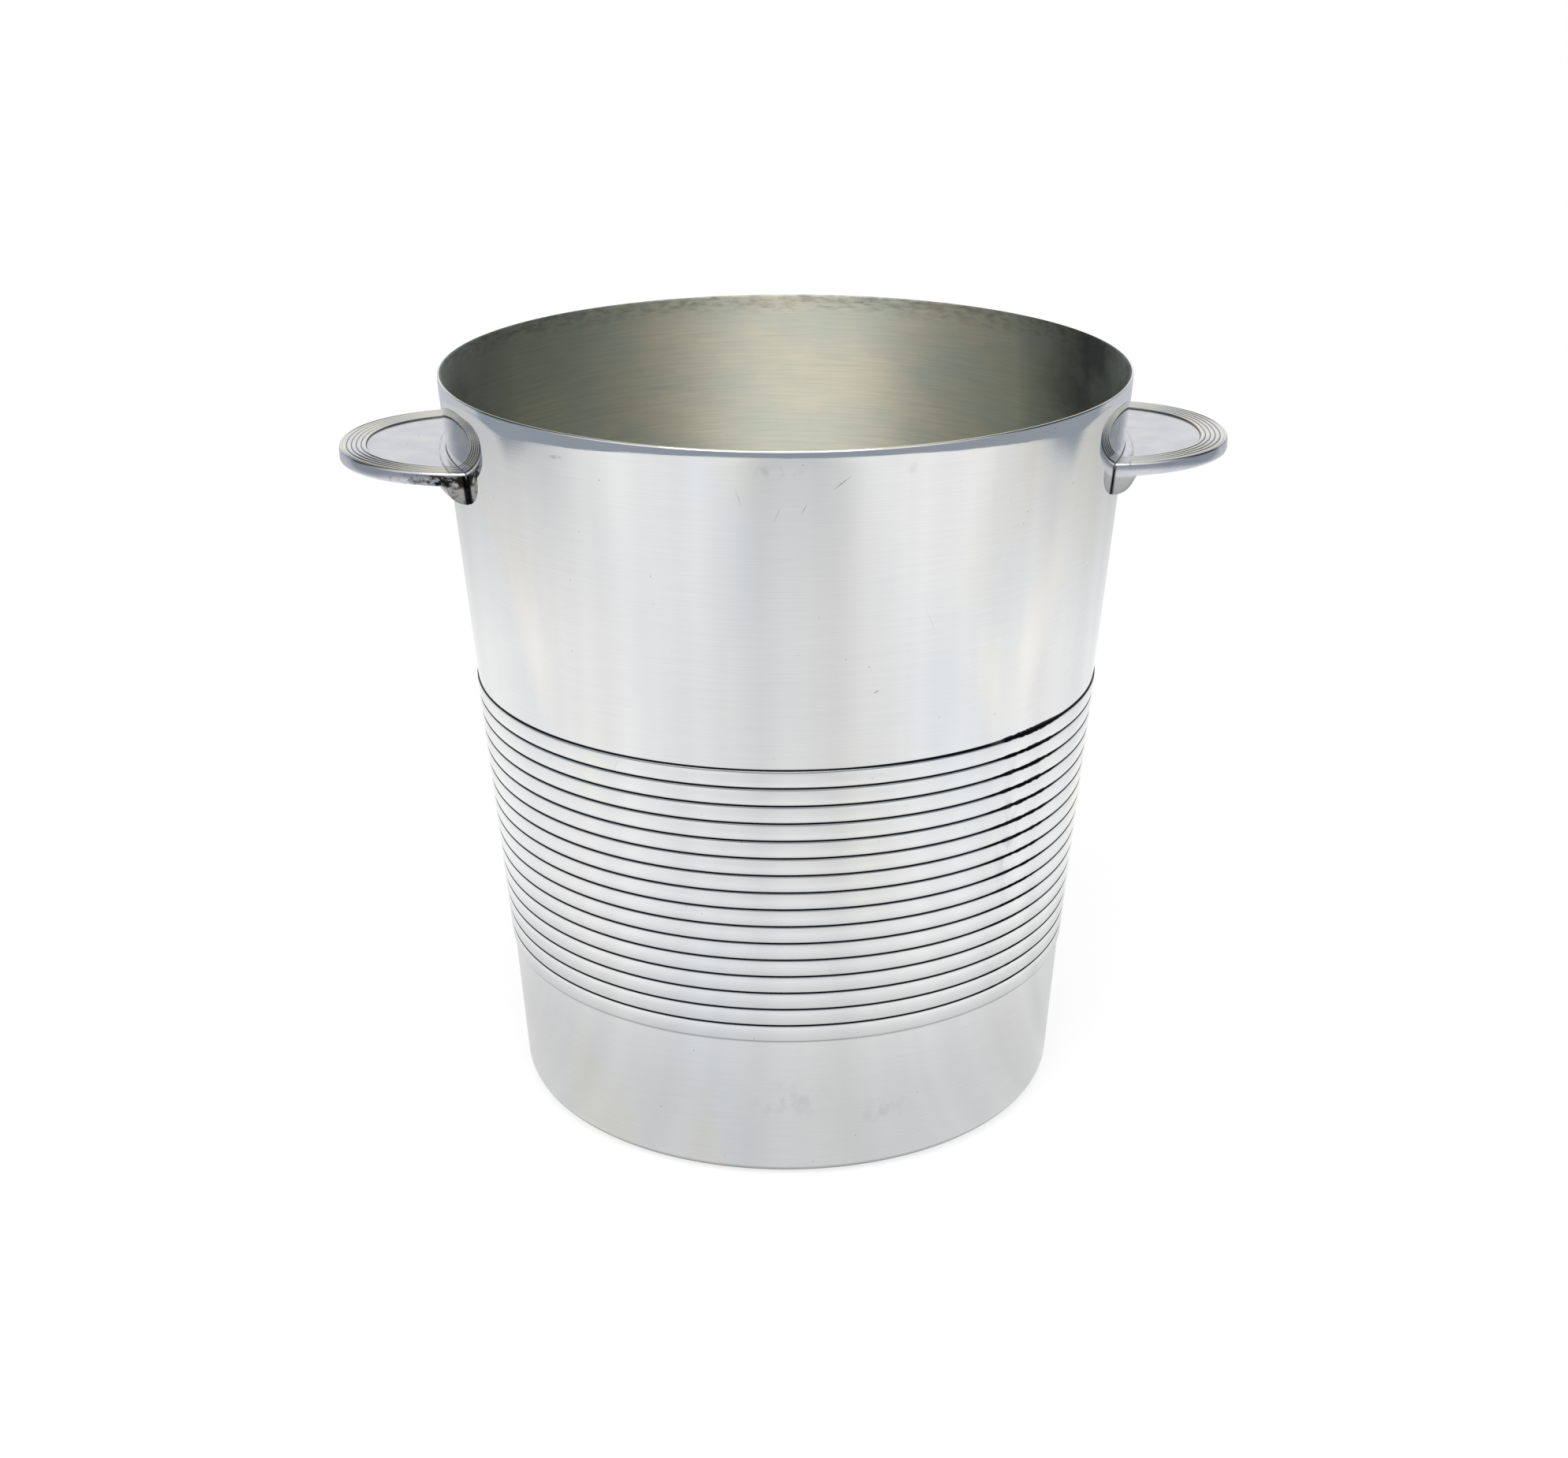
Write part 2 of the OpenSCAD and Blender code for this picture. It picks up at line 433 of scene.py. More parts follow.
# %% [markdown]
# Silver solder fills the thin gap behind the casting. It is a block of the handle's own outline,
# cut by two cones: what is left is a sheet as thick as the gap, which stops just short of the
# handle's edges, where the solder drew back as it cooled.

# %% Solder behind the handle
SOLDER_INSET = 0.12 * MM

solder_low, solder_high = PLATE_BASE_Z - FOOT_R + SOLDER_INSET, PLATE_TOP_Z - SOLDER_INSET
filler = prism("solder_right", tongue_outline(SOLDER_INSET), solder_low, solder_high)
combine(filler, cone("outer", solder_low - MM, solder_high + MM, SOLDER_T), "INTERSECT")
combine(filler, cone("inner", solder_low - 2 * MM, solder_high + 2 * MM, 0), "DIFFERENCE")
bpy.ops.object.mode_set(mode="EDIT")
close_up(filler)
bpy.ops.object.shade_smooth_by_angle(angle=CAST_SMOOTH)

# %% [markdown]
# The left handle is the same casting. It is copied with its own mesh and turned half round, and
# the turn is applied so that its place is in its mesh. Its solder is copied in the same way.

# %% Second handle


def turned_copy(piece, name):
    """A copy of a piece with its own mesh, turned half round about the bucket's axis."""
    bpy.ops.object.select_all(action="DESELECT")
    bpy.context.view_layer.objects.active = piece
    piece.select_set(True)
    bpy.ops.object.duplicate()
    made = bpy.context.object
    made.rotation_euler.z = math.pi
    bpy.ops.object.transform_apply(location=False, rotation=True, scale=False)
    made.name = made.data.name = name
    return made


handles = {"right_handle": tongue, "left_handle": turned_copy(tongue, "handle_left")}
fillers = {"right_handle_solder": filler,
           "left_handle_solder": turned_copy(filler, "solder_left")}
for pieces, slot in ((handles, "cast_silver_plate"), (fillers, "silver_solder")):
    for node_name, piece in pieces.items():
        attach(piece, "root")
        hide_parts(node_name)
print("handles reach", round(max(v.co.x for v in tongue.data.vertices) / MM, 2), "mm out")

# %% [markdown]
# ## Material helpers
# Every colour is written as a hex value and turned to linear light by one function. Another
# adds one node with its settings and links. A node given as an input stands for its first
# output in use, and a number is a socket's place: a Map Range goes from 1 and 2 to 3 and 4, and
# a Mix blends the numbers 2 and 3 or the colours 6 and 7. Patterns read Object coordinates,
# which here are metres in the bucket's own frame, so that one over a size scales a pattern to
# that size.

# %% Colour and node helpers
def linear(hex_colour):
    """An sRGB hex colour as linear RGBA."""
    parts = [int(hex_colour[i:i + 2], 16) / 255 for i in (1, 3, 5)]
    return (*[c / 12.92 if c <= 0.04045 else ((c + 0.055) / 1.055) ** 2.4 for c in parts], 1)


def add(tree, kind, inputs=None, **settings):
    """Adds one node, sets its properties and fills its inputs, or links them to other nodes."""
    made = tree.nodes.new("ShaderNode" + kind)
    for name, value in settings.items():
        setattr(made, name, value)
    for socket, value in (inputs or {}).items():
        if isinstance(value, bpy.types.Node):
            value = next(output for output in value.outputs if output.enabled)
        if isinstance(value, bpy.types.NodeSocket):
            tree.links.new(value, made.inputs[socket])
        else:
            made.inputs[socket].default_value = value
    return made


def one_over(*sizes):
    """Mapping scale that makes one unit of a pattern as large as these sizes."""
    return tuple(1 / size for size in sizes)


def new_material(name):
    """A material with an empty tree, its output and its metal shader."""
    material = bpy.data.materials.new(name)
    material.use_nodes = True
    tree = material.node_tree
    tree.nodes.clear()
    shader = add(tree, "BsdfPrincipled", {"Metallic": 1.0})
    add(tree, "OutputMaterial", {"Surface": shader})
    return material, tree, shader


# %% [markdown]
# ## Polished silver plate
# The outside is silver plate on nickel silver, spun, beaded and then buffed with rouge. Buffing
# leaves a mirror with a haze of hairlines round the cup, and years of cleaning add fine
# scratches. The plate is not one grey: it drifts from cool to lavender to cream in soft patches.
# Polish never reaches into the grooves, so black tarnish stays there, and at one place near the
# right handle it has been smeared across several lines.

# %% Patches and hairlines
PATCH_W = 38 * MM
PATCH_H = 110 * MM
CREAM_SHIFT = (3.1, 1.7, 0.4)
HAIR_LONG = 14 * MM
HAIR_WIDE = 0.4 * MM  # real hairlines are ten times finer and would not show
BUFFED = 0.035

polished, tree, shader = new_material("polished_silver_plate")
place = add(tree, "TexCoord")
point = place.outputs["Object"]
at = add(tree, "SeparateXYZ", {0: point})
patch_at = add(tree, "Mapping", {0: point, 3: one_over(PATCH_W, PATCH_W, PATCH_H)})
patches = add(tree, "TexNoise", {"Vector": patch_at, "Scale": 1.0, "Detail": 2.0})
cool = add(tree, "MapRange", {0: patches, 1: 0.38, 2: 0.62})
tone = add(tree, "Mix", {0: cool, 6: linear("#E6E9EB"), 7: linear("#ECECEC")}, data_type="RGBA")
cream_at = add(tree, "Mapping", {0: patch_at, 1: CREAM_SHIFT})
cream = add(tree, "TexNoise", {"Vector": cream_at, "Scale": 1.3, "Detail": 1.0})
creamy = add(tree, "MapRange", {0: cream, 1: 0.56, 2: 0.7, 4: 0.5})
tone = add(tree, "Mix", {0: creamy, 6: tone, 7: linear("#EDEBDF")}, data_type="RGBA")
hair_at = add(tree, "Mapping", {0: point, 3: one_over(HAIR_LONG, HAIR_LONG, HAIR_WIDE)})
hairs = add(tree, "TexNoise", {"Vector": hair_at, "Scale": 1.0, "Detail": 4.0})
shade = add(tree, "MapRange", {0: hairs, 1: 0.3, 2: 0.7, 3: 0.975, 4: 1.015})
tone = add(tree, "Mix", {0: 1.0, 6: tone, 7: shade}, data_type="RGBA", blend_type="MULTIPLY")

# %% Tarnish in the grooves and painted shade beside them
LINE_HALF = 0.24 * MM
LINE_SOFT = 0.14 * MM
SMEAR_TURN = math.radians(45)
SMEAR_HALF = math.radians(12)
SMEAR_GROW = 0.5 * MM
BLOT_W = 3 * MM
BLOT_H = 5 * MM
TARNISHED_ROUGH = 0.5

back_y = add(tree, "Math", {0: at.outputs["Y"], 1: -1.0}, operation="MULTIPLY")
turn = add(tree, "Math", {0: at.outputs["X"], 1: back_y}, operation="ARCTAN2")
rise = add(tree, "Math", {0: at.outputs["Z"], 1: BAND_FOOT_H}, operation="SUBTRACT")
bead = add(tree, "Math", {0: rise, 1: BEAD_PITCH}, operation="DIVIDE")
apart = add(tree, "Math", {0: bead, 1: 0.5}, operation="PINGPONG")
away = add(tree, "Math", {0: apart, 1: BEAD_PITCH}, operation="MULTIPLY")
on_band = add(tree, "Math", {0: bead, 1: BEAD_COUNT / 2, 2: BEAD_COUNT / 2 + 0.3},
              operation="COMPARE")

blot_at = add(tree, "Mapping", {0: point, 3: one_over(BLOT_W, BLOT_W, BLOT_H)})
blots = add(tree, "TexNoise", {"Vector": blot_at, "Scale": 1.0, "Detail": 5.0})
off_smear = add(tree, "Math", {0: turn, 1: SMEAR_TURN}, operation="SUBTRACT")
off_smear = add(tree, "Math", {0: off_smear}, operation="ABSOLUTE")
smear = add(tree, "MapRange", {0: off_smear, 1: 0.2 * SMEAR_HALF, 2: SMEAR_HALF,
                               3: 1.0, 4: 0.0}, interpolation_type="SMOOTHSTEP")
upper = add(tree, "MapRange", {0: bead, 1: 4.0, 2: 13.0, 3: 0.15, 4: 1.0})
patchy = add(tree, "MapRange", {0: blots, 1: 0.36, 2: 0.56, 3: 0.3})
for part in (upper, patchy):
    smear = add(tree, "Math", {0: smear, 1: part}, operation="MULTIPLY")
top_line = add(tree, "Math", {0: bead, 1: BEAD_COUNT - 0.5}, operation="GREATER_THAN")
worn_top = add(tree, "MapRange", {0: turn, 1: math.radians(8), 2: math.radians(32),
                                  3: -0.03 * MM, 4: 0.1 * MM})
worn_top = add(tree, "Math", {0: worn_top, 1: top_line}, operation="MULTIPLY")
half = add(tree, "Math", {0: smear, 1: SMEAR_GROW, 2: LINE_HALF}, operation="MULTIPLY_ADD")
half = add(tree, "Math", {0: half, 1: worn_top}, operation="ADD")
soft = add(tree, "Math", {0: half, 1: LINE_SOFT}, operation="ADD")
line = add(tree, "MapRange", {0: away, 1: half, 2: soft, 3: 1.0, 4: 0.0})
bottom_line = add(tree, "MapRange", {0: bead, 1: 0.4, 2: 0.6, 3: 0.4, 4: 1.0})
line = add(tree, "Math", {0: line, 1: bottom_line}, operation="MULTIPLY")
# A soft painted shade lies on either side of each groove's dark line of tarnish.
painted_groove_shade = add(tree, "MapRange", {0: away, 1: 0.1 * MM, 2: 0.9 * MM, 3: 0.13, 4: 0.0},
           interpolation_type="SMOOTHSTEP")
line = add(tree, "Math", {0: line, 1: painted_groove_shade}, operation="MAXIMUM")
line = add(tree, "Math", {0: line, 1: on_band}, operation="MULTIPLY")
tone = add(tree, "Mix", {0: line, 6: tone, 7: linear("#0D1219")}, data_type="RGBA")


# %% [markdown]
# Old wear and pale patches are placed one by one, as they lie on the real wall. Every mark is an
# oval at an angle from the front and a height, with its half length and half width, the lean of
# its length and its strength. A scratch is a very thin oval. A scuff is a wide one, broken up by
# the same blots as the smear. A pale patch is a soft tall one, paler than the wall round it.

# %% Scuffs, scratches and specks
SPECK_SPACING = 6 * MM
SCUFF_GREY = "#7C828E"
SCRATCH_GREY = "#5F646E"
PALE_PATCH = "#F8F6F0"


def oval(tree, wall_at, place, size, lean):
    """Mask of an oval place on the wall: one in its middle and nothing past its edge."""
    middle = (math.radians(place[0]) * RIM_R, place[1], 0)
    local = add(tree, "Mapping", {0: wall_at, 1: middle, 2: (0, 0, math.radians(lean)),
                                  3: (*size, 1)}, vector_type="TEXTURE")
    off = add(tree, "VectorMath", {0: local}, operation="LENGTH")
    return add(tree, "MapRange", {0: off, 1: 0.2, 2: 1.0, 3: 1.0, 4: 0.0})


SCUFFS = [((66, 0.2095), (2.6 * MM, 5 * MM), 0, 0.5),
          ((-2, 0.026), (16 * MM, 8 * MM), 0, 0.14),
          ((17, 0.02), (12 * MM, 5 * MM), 0, 0.14),
          ((-4, 0.2155), (8 * MM, 2.2 * MM), 0, 0.3),
          ((16.5, 0.215), (4 * MM, 1.8 * MM), 0, 0.22),
          ((-40, 0.2142), (3 * MM, 0.8 * MM), 5, 0.4),
          ((41, 0.1), (6 * MM, 30 * MM), 0, 0.25)]
SCRATCHES = [((5.6, 0.2122), (3.4 * MM, 0.16 * MM), 37, 0.8),
             ((0, 0.2055), (2 * MM, 0.14 * MM), 62, 0.55),
             ((-9.8, 0.2085), (3 * MM, 0.14 * MM), -72, 0.45),
             ((-4, 0.204), (3 * MM, 0.12 * MM), 68, 0.4),
             ((12, 0.153), (1.2 * MM, 0.3 * MM), 20, 0.6),
             ((21, 0.171), (5 * MM, 0.12 * MM), -64, 0.25),
             ((-33, 0.128), (4 * MM, 0.12 * MM), 58, 0.3)]
PALE_PATCHES = [((44, 0.165), (9 * MM, 34 * MM), -14, 0.7),
                ((34, 0.15), (7 * MM, 22 * MM), 14, 0.5),
                ((-50, 0.158), (8 * MM, 26 * MM), 10, 0.6)]

arc_way = add(tree, "Math", {0: turn, 1: RIM_R}, operation="MULTIPLY")
wall_at = add(tree, "CombineXYZ", {0: arc_way, 1: at.outputs["Z"]})
rubs = add(tree, "MapRange", {0: blots, 1: 0.46, 2: 0.62})
for marks, colour in ((PALE_PATCHES, PALE_PATCH), (SCUFFS, SCUFF_GREY),
                      (SCRATCHES, SCRATCH_GREY)):
    for where, size, lean, strength in marks:
        mark = oval(tree, wall_at, where, size, lean)
        mark = add(tree, "Math", {0: mark, 1: strength}, operation="MULTIPLY")
        if colour == SCUFF_GREY:
            mark = add(tree, "Math", {0: mark, 1: rubs}, operation="MULTIPLY")
        tone = add(tree, "Mix", {0: mark, 6: tone, 7: linear(colour)}, data_type="RGBA")
speck_at = add(tree, "Mapping", {0: point, 3: one_over(*[SPECK_SPACING] * 3)})
specks = add(tree, "TexVoronoi", {"Vector": speck_at, "Scale": 1.0})
speck = add(tree, "MapRange", {0: specks.outputs["Distance"], 1: 0.02, 2: 0.045, 3: 0.5, 4: 0.0})
tone = add(tree, "Mix", {0: speck, 6: tone, 7: linear("#70757F")}, data_type="RGBA")
rough = add(tree, "MapRange", {0: line, 3: BUFFED, 4: TARNISHED_ROUGH})
tree.links.new(tone.outputs[2], shader.inputs["Base Color"])
tree.links.new(rough.outputs[0], shader.inputs["Roughness"])

# %% Hairline relief and the unevenness of the wall
WAVE_W = 28 * MM
WAVE_H = 60 * MM
WAVE_DEEP = 0.25 * MM
HAIR_DEEP = 0.008 * MM

wave_at = add(tree, "Mapping", {0: point, 3: one_over(WAVE_W, WAVE_W, WAVE_H)})
waves = add(tree, "TexNoise", {"Vector": wave_at, "Scale": 1.0, "Detail": 1.0})
uneven = add(tree, "Bump", {"Height": waves, "Strength": 1.0, "Distance": WAVE_DEEP})
fine = add(tree, "Bump", {"Height": hairs, "Strength": 0.2, "Distance": HAIR_DEEP,
                          "Normal": uneven})
tree.links.new(fine.outputs[0], shader.inputs["Normal"])
cup.data.materials.append(polished)
print("polished nodes", len(tree.nodes))

# %% [markdown]
# ## Satin silver inside
# The inside was only rubbed round with pumice, so it is satin, not bright: each fine scratch
# runs round the cup, which spreads a highlight up and down the wall. Wine and water have left
# it warm and greyish, with brown stains under the rim.

# %% Satin silver
SATIN_LONG = 16 * MM
SATIN_WIDE = 0.5 * MM  # drawn coarser than real pumice scratches so that it shows
SATIN_TILT = (math.radians(7), math.radians(-5), 0.0)
SATIN_DEEP = 0.015 * MM
SATIN_SPREAD = 0.85
SPREAD_UP = 0.25  # a quarter turn, which spreads the highlight up and down the wall
CLOUD_W = 22 * MM
CLOUD_H = 14 * MM
FLECK_W = 4 * MM
FLECK_H = 1.2 * MM
STAINED_H = 7 * MM
RIM_SHADE_H = 45 * MM

satin, tree, shader = new_material("satin_silver_inside")
place = add(tree, "TexCoord")
point = place.outputs["Object"]
at = add(tree, "SeparateXYZ", {0: point})
rub_at = add(tree, "Mapping", {0: point, 2: SATIN_TILT,
                               3: one_over(SATIN_LONG, SATIN_LONG, SATIN_WIDE)})
rubbed = add(tree, "TexNoise", {"Vector": rub_at, "Scale": 1.0, "Detail": 5.0})
cloud_at = add(tree, "Mapping", {0: point, 3: one_over(CLOUD_W, CLOUD_W, CLOUD_H)})
clouds = add(tree, "TexNoise", {"Vector": cloud_at, "Scale": 1.0, "Detail": 5.0})
warm = add(tree, "MapRange", {0: clouds, 1: 0.35, 2: 0.65})
tone = add(tree, "Mix", {0: warm, 6: linear("#CDD1C6"), 7: linear("#DCD7C6")}, data_type="RGBA")
under_rim = add(tree, "MapRange", {0: at.outputs["Z"], 1: BUCKET_H - STAINED_H,
                                   2: BUCKET_H - 2 * MM, 3: 0.0, 4: 1.0})
fleck_at = add(tree, "Mapping", {0: point, 3: one_over(FLECK_W, FLECK_W, FLECK_H)})
flecks = add(tree, "TexNoise", {"Vector": fleck_at, "Scale": 1.0, "Detail": 4.0})
stains = add(tree, "MapRange", {0: flecks, 1: 0.42, 2: 0.72, 4: 0.5})
stains = add(tree, "Math", {0: stains, 1: under_rim}, operation="MULTIPLY")
tone = add(tree, "Mix", {0: stains, 6: tone, 7: linear("#6E6255")}, data_type="RGBA")

# %% Painted shade at both ends, wear and rubbing of the satin
# Both ends of the inside are darkened with painted shade, more at the right, broken up by the
# clouds.
right_end_shade = add(tree, "MapRange", {0: at.outputs["X"], 1: 76 * MM, 2: 93 * MM, 4: 0.85})
left_end_shade = add(tree, "MapRange", {0: at.outputs["X"], 1: -80 * MM, 2: -95 * MM, 4: 0.55})
painted_end_shade = add(tree, "Math", {0: right_end_shade, 1: left_end_shade}, operation="MAXIMUM")
patchy = add(tree, "MapRange", {0: clouds, 1: 0.3, 2: 0.6, 3: 0.45})
painted_end_shade = add(tree, "Math", {0: painted_end_shade, 1: patchy}, operation="MULTIPLY")
tone = add(tree, "Mix", {0: painted_end_shade, 6: tone, 7: linear("#454E52")}, data_type="RGBA")
beside = add(tree, "Math", {0: at.outputs["X"]}, operation="ABSOLUTE")
worn_side = add(tree, "MapRange", {0: beside, 1: 45 * MM, 2: 88 * MM})
tone = add(tree, "Mix", {0: worn_side, 6: tone, 7: linear("#F3F9FF")},
           data_type="RGBA", blend_type="MULTIPLY")
# The upper part of the inside is darkened towards the rim with painted shade.
painted_rim_shade = add(tree, "MapRange", {0: at.outputs["Z"], 1: BUCKET_H - RIM_SHADE_H, 2: BUCKET_H,
                               3: 1.0, 4: 0.84})
shade = add(tree, "MapRange", {0: rubbed, 1: 0.3, 2: 0.7, 3: 0.9, 4: 1.08})
for part in (painted_rim_shade, shade):
    tone = add(tree, "Mix", {0: 1.0, 6: tone, 7: part}, data_type="RGBA", blend_type="MULTIPLY")
tree.links.new(tone.outputs[2], shader.inputs["Base Color"])
rough = add(tree, "MapRange", {0: rubbed, 1: 0.3, 2: 0.7, 3: 0.56, 4: 0.64})
tree.links.new(rough.outputs[0], shader.inputs["Roughness"])
relief = add(tree, "Bump", {"Height": rubbed, "Strength": 0.3, "Distance": SATIN_DEEP})
tree.links.new(relief.outputs[0], shader.inputs["Normal"])
shader.inputs["Anisotropic"].default_value = SATIN_SPREAD
shader.inputs["Anisotropic Rotation"].default_value = SPREAD_UP
around = add(tree, "Tangent", direction_type="RADIAL", axis="Z")
tree.links.new(around.outputs[0], shader.inputs["Tangent"])
cup.data.materials.append(satin)

# %% Satin given to the inner faces


def is_inside(face):
    """True for a face of the cup's inner surface, below the round of the lip."""
    out = face.normal.x * face.center.x + face.normal.y * face.center.y
    floor = face.normal.z > 0.5 and face.center.z < CORNER_R
    wall = out < 0 and 2 * MM < face.center.z
    return floor or wall


bpy.ops.object.select_all(action="DESELECT")
cup.select_set(True)
bpy.context.view_layer.objects.active = cup
pick(cup, "FACE", is_inside)
cup.active_material_index = 1
bpy.ops.object.material_slot_assign()
bpy.ops.object.mode_set(mode="OBJECT")
print("satin faces", sum(face.material_index for face in cup.data.polygons))

# %% [markdown]
# ## Cast silver plate
# The handles are cast in nickel silver, chased, plated and buffed. Buffing clears the ridges'
# crowns, which are painted with a bright cream white highlight, and leaves grey tarnish in the
# furrows, which the crease attribute follows. The field keeps a few casting pits. The left handle
# was cleaned less well: its side has brown and black tarnish near the wall. Each seam by the wall
# has a painted shadow, and each foot has painted shade.

# %% Cast silver
TARNISH_REACH = 24 * MM
PIT_SPACING = 5 * MM
MOTTLE_W = 9 * MM
MOTTLE_H = 6 * MM

cast, tree, shader = new_material("chased_cast_silver")
place = add(tree, "TexCoord")
point = place.outputs["Object"]
at = add(tree, "SeparateXYZ", {0: point})
mottle_at = add(tree, "Mapping", {0: point, 3: one_over(MOTTLE_W, MOTTLE_W, MOTTLE_H)})
mottle = add(tree, "TexNoise", {"Vector": mottle_at, "Scale": 1.0, "Detail": 4.0})
hue = add(tree, "MapRange", {0: mottle, 1: 0.38, 2: 0.62})
tone = add(tree, "Mix", {0: hue, 6: linear("#CDD0D9"), 7: linear("#DCDCDF")}, data_type="RGBA")
crease = add(tree, "Attribute", attribute_name="crease", attribute_type="GEOMETRY")
pit_at = add(tree, "Mapping", {0: point, 3: one_over(*[PIT_SPACING] * 3)})
pits = add(tree, "TexVoronoi", {"Vector": pit_at, "Scale": 1.0})
pit = add(tree, "MapRange", {0: pits.outputs["Distance"], 1: 0.03, 2: 0.075, 3: 0.7, 4: 0.0})
tone = add(tree, "Mix", {0: pit, 6: tone, 7: linear("#6B6E78")}, data_type="RGBA")

# %% Buffed border with a painted highlight on its crowns, and tarnish along the land
beside = add(tree, "Math", {0: at.outputs["X"]}, operation="ABSOLUTE")
from_land = add(tree, "Math", {0: beside,
                               1: wall_radius(PLATE_TOP_Z) + LAND_W - LAND_R},
                operation="SUBTRACT")
land_way = add(tree, "CombineXYZ", {0: from_land, 1: at.outputs["Y"]})
land_r = add(tree, "VectorMath", {0: land_way}, operation="LENGTH")
off_land = add(tree, "Math", {0: land_r, 1: LAND_R}, operation="SUBTRACT")
on_border = add(tree, "Math", {0: off_land, 1: 0.0}, operation="GREATER_THAN")
# The buffed crowns of the ridges are painted with a cream white highlight.
crown = add(tree, "MapRange", {0: at.outputs["Z"], 1: PLATE_TOP_Z - 0.3 * MM,
                               2: PLATE_TOP_Z - 0.1 * MM})
crown = add(tree, "Math", {0: crown, 1: on_border}, operation="MULTIPLY")
buffed_crown_highlight = add(tree, "Mix", {0: hue, 6: linear("#E4E5E8"), 7: linear("#EFECE2")}, data_type="RGBA")
tone = add(tree, "Mix", {0: crown, 6: tone, 7: buffed_crown_highlight}, data_type="RGBA")
off_land = add(tree, "Math", {0: off_land}, operation="ABSOLUTE")
land_edge = add(tree, "MapRange", {0: off_land, 1: 0.15 * MM, 2: 0.5 * MM, 3: 0.5, 4: 0.0})
upward = add(tree, "MapRange", {0: at.outputs["Z"], 1: PLATE_TOP_Z - 0.9 * MM,
                                2: PLATE_TOP_Z - 0.7 * MM})
for part in (upward, hue):
    land_edge = add(tree, "Math", {0: land_edge, 1: part}, operation="MULTIPLY")
tone = add(tree, "Mix", {0: land_edge, 6: tone, 7: linear("#2A2D36")}, data_type="RGBA")
furrow = add(tree, "Math", {0: crease.outputs["Fac"], 1: 0.85}, operation="MULTIPLY")
tone = add(tree, "Mix", {0: furrow, 6: tone, 7: linear("#14171C")}, data_type="RGBA")

# %% Painted shadow along the seam, painted shade on the foot, and tarnish on the left handle's side
SEAM_SHADOW_W = 0.35 * MM
LEFT_SEAM_SHADOW_W = 0.9 * MM
SEAM_SHADOW_SOFT = 0.4 * MM
CRUST_W = 2.2 * MM
CRUST_H = 1.6 * MM
CAST_ROUGH = (0.2, 0.5)
CAST_DEEP = 0.08 * MM

flat = add(tree, "CombineXYZ", {0: at.outputs["X"], 1: at.outputs["Y"]})
out_r = add(tree, "VectorMath", {0: flat}, operation="LENGTH")
wall_here = add(tree, "Math", {0: at.outputs["Z"], 1: math.tan(WALL_DRAFT), 2: wall_radius(0)},
                operation="MULTIPLY_ADD")
gap = add(tree, "Math", {0: out_r, 1: wall_here}, operation="SUBTRACT")
from_wall = add(tree, "Math", {0: out_r, 1: wall_radius(PLATE_BASE_Z)}, operation="SUBTRACT")
near_wall = add(tree, "MapRange", {0: from_wall, 1: 0.35 * TARNISH_REACH,
                                   2: TARNISH_REACH, 3: 1.0, 4: 0.0})
in_front = add(tree, "MapRange", {0: at.outputs["Y"], 1: -24 * MM, 2: -30 * MM})
on_left = add(tree, "MapRange", {0: at.outputs["X"], 1: -40 * MM, 2: -60 * MM})
# A painted shadow lies in the gap along the wall, wider and blacker on the left handle.
seam_shadow_w = add(tree, "Mix", {0: on_left, 2: SEAM_SHADOW_W, 3: LEFT_SEAM_SHADOW_W})
seam_shadow_end = add(tree, "Math", {0: seam_shadow_w, 1: SEAM_SHADOW_SOFT}, operation="ADD")
seam_shadow_strength = add(tree, "Mix", {0: on_left, 2: 0.7, 3: 0.97})
painted_seam_shadow = add(tree, "MapRange", {0: gap, 1: seam_shadow_w, 2: seam_shadow_end, 3: seam_shadow_strength, 4: 0.0})
on_side = add(tree, "MapRange", {0: at.outputs["Z"], 1: PLATE_TOP_Z - 0.5 * MM,
                                 2: PLATE_TOP_Z - 0.9 * MM})
crust_at = add(tree, "Mapping", {0: point, 3: one_over(CRUST_W, CRUST_W, CRUST_H)})
crust = add(tree, "TexNoise", {"Vector": crust_at, "Scale": 1.0, "Detail": 6.0, "Roughness": 0.65})
left = near_wall
for part in (in_front, on_left, on_side):
    left = add(tree, "Math", {0: left, 1: part}, operation="MULTIPLY")
taken = add(tree, "MapRange", {0: at.outputs["Z"], 1: PLATE_BASE_Z - 1 * MM, 2: PLATE_BASE_Z,
                               3: -0.04, 4: -0.27})
bare = add(tree, "Math", {0: left, 1: taken, 2: 0.6}, operation="MULTIPLY_ADD")
bare_soft = add(tree, "Math", {0: bare, 1: 0.2}, operation="ADD")
crusted = add(tree, "MapRange", {0: crust, 1: bare, 2: bare_soft})
for part in (on_side, left):
    crusted = add(tree, "Math", {0: crusted, 1: part}, operation="MULTIPLY")
on_foot = add(tree, "MapRange", {0: at.outputs["Z"], 1: PLATE_BASE_Z - 0.4 * MM,
                                 2: PLATE_BASE_Z + 0.4 * MM, 3: 1.0, 4: 0.0})
